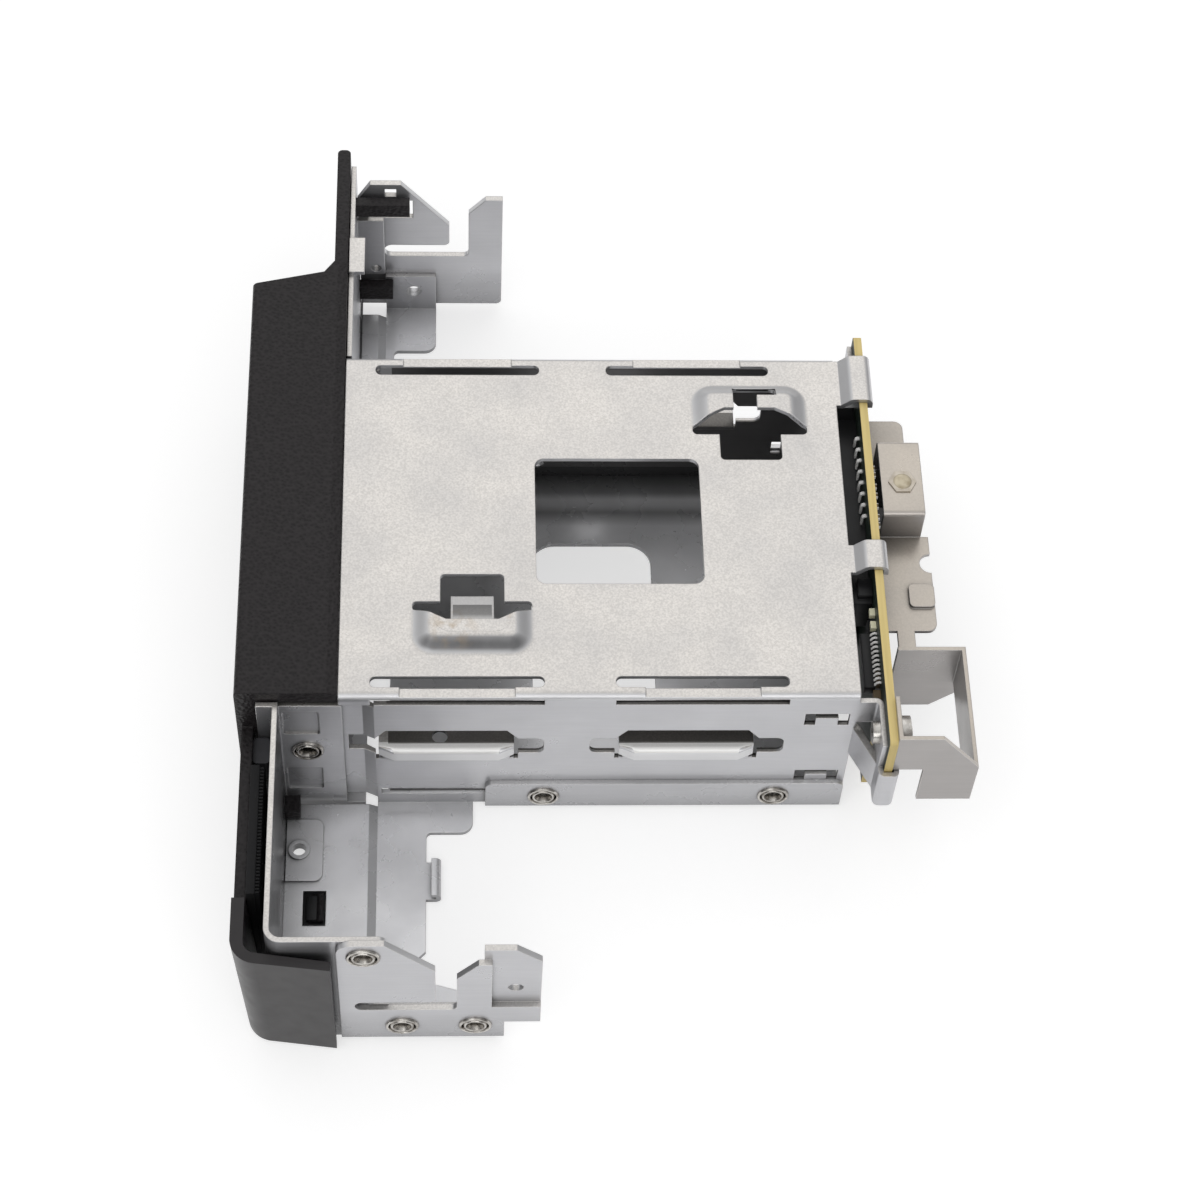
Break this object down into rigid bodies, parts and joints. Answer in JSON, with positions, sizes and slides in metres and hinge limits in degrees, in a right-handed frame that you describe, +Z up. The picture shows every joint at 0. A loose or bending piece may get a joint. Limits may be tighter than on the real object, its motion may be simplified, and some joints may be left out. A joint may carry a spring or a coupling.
{
  "type": "hard drive cage",
  "caption": "Folded sheet-steel cage that holds flat 2.5-inch drives one above the other, with a moulded front, hook brackets and a backplane board behind.",
  "frame": {"origin": "middle of the whole part's outline, at its underside", "axes": "+Z up, +X from the drive mouth to the backplane, +Y across the cage to the thin bezel plate"},
  "size_m": [0.1396, 0.1878, 0.043],
  "materials": {
    "zinc_sheet": "zinc plated, fine speckle, brushed on the walls",
    "bracket_steel": "zinc plated",
    "grained_plastic": "fine pebble grain",
    "satin_plastic": "smooth satin",
    "grey_plastic": "satin",
    "gasket_foam": "matt ribbed",
    "board_laminate": "solder mask with bare tan edges",
    "black_nylon": "satin",
    "contact_gold": "plated",
    "chip_black": "matt moulded",
    "capacitor_tan": "matt",
    "led_lens": "milky",
    "nickel": "plated"
  },
  "bodies": {
    "root": {"cage_shell": "zinc_sheet", "front_frame": "zinc_sheet", "bottom_tray": "zinc_sheet", "near_hook_bracket": "zinc_sheet", "far_hook_bracket": "zinc_sheet", "rear_bracket": "bracket_steel", "front_bezel": "grained_plastic", "bezel_end_cap": "satin_plastic", "bezel_latch": "grey_plastic", "gasket_strip": "gasket_foam", "backplane_board": "board_laminate", "upper_drive_connector": "black_nylon", "lower_drive_connector": "black_nylon", "signal_connector": "black_nylon", "power_connector": "black_nylon", "upper_drive_contacts": "contact_gold", "lower_drive_contacts": "contact_gold", "backplane_chips": "chip_black", "backplane_capacitors": "capacitor_tan", "status_leds": "led_lens", "hex_insert": "nickel", "clinch_nut": "nickel", "backplane_screw": "nickel", "joint_eyelets": "nickel"}
  },
  "joints": []
}
